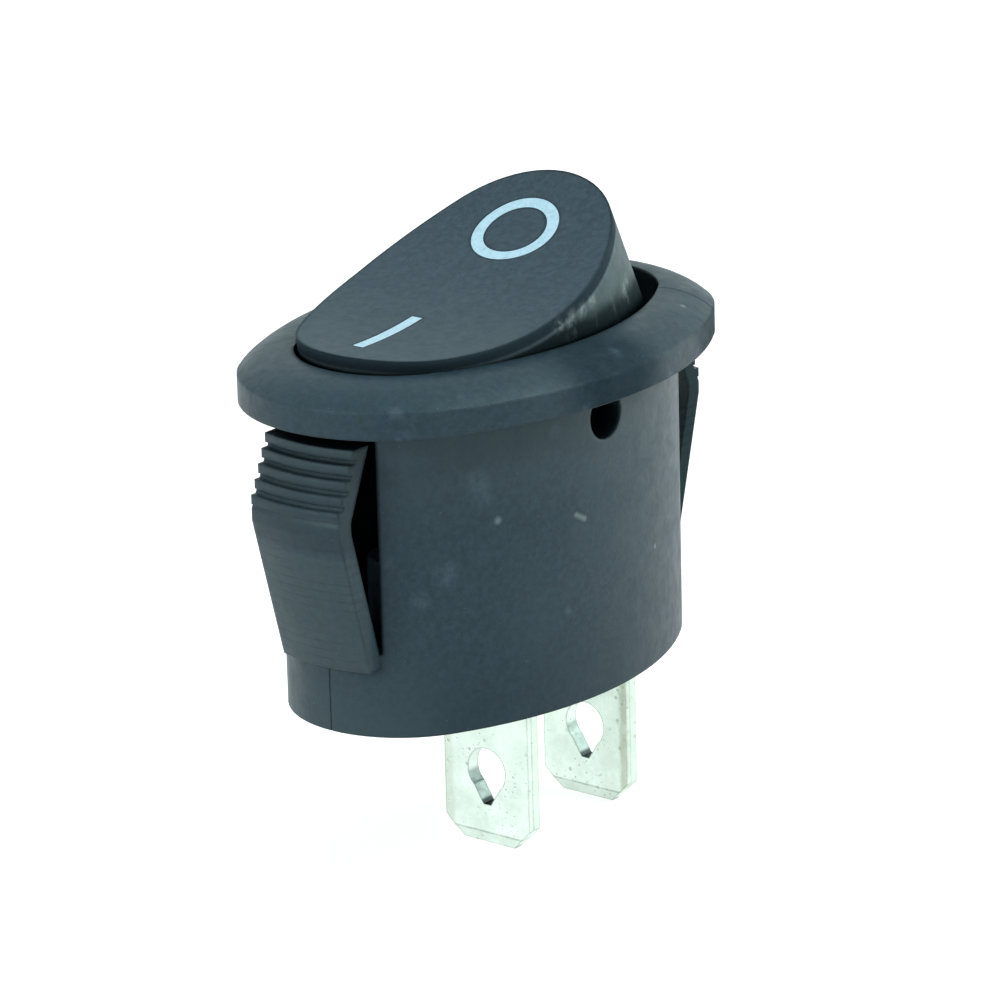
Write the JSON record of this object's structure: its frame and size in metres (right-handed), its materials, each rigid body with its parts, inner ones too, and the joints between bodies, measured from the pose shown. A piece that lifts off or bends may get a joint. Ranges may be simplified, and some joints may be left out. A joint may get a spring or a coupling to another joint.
{
  "type": "panel rocker switch",
  "caption": "Oval snap-in panel rocker switch with a hollowed see-saw rocker marked I and O, sprung side latches and flat blade terminals.",
  "frame": {"origin": "middle of the panel opening, in the plane of the panel's face, which is the underside of the bezel", "axes": "+Z out of the panel, towards the user's finger; X along the oval's long axis, +X towards the O end; Y across"},
  "size_m": [0.0252, 0.0164, 0.0286],
  "materials": {
    "housing_plastic": "moulded slate black, fine matt",
    "rocker_plastic": "moulded slate grey, satin",
    "mark_ink": "pale blue-white",
    "plunger_plastic": "natural white",
    "spring_steel": "bright wire",
    "contact_brass": "rolled",
    "contact_silver": "silver",
    "tinned_tab": "dull tin plate on brass"
  },
  "bodies": {
    "base": {"housing": "housing_plastic", "common_terminal": "tinned_tab", "end_terminal": "tinned_tab", "fixed_contact": "contact_silver"},
    "rocker_body": {"rocker": "rocker_plastic", "on_mark": "mark_ink", "off_mark": "mark_ink", "plunger_spring": "spring_steel"},
    "plunger_body": {"plunger": "plunger_plastic"},
    "blade_body": {"contact_blade": "contact_brass", "moving_contact": "contact_silver"}
  },
  "joints": [
    {"name": "rocker_tilt", "type": "hinge", "parent": "base", "child": "rocker_body", "pos_m": [0, 0, -0.0012], "axis": [0, 1, 0], "range_deg": [0, 31.4]},
    {"name": "plunger_slide", "type": "slide", "parent": "rocker_body", "child": "plunger_body", "axis": [-0.2706, 0, 0.9627], "range_m": [0, 0.0005], "stiffness_N_per_m": 400, "springref_m": -0.002, "deforming": ["plunger_spring"]},
    {"name": "blade_tilt", "type": "hinge", "parent": "base", "child": "blade_body", "pos_m": [0, 0, -0.00741], "axis": [0, 1, 0], "range_deg": [-16, 0]}
  ],
  "couplings": [
    {"joint": "blade_tilt", "follows": "rocker_tilt", "ratio": -0.50955}
  ]
}
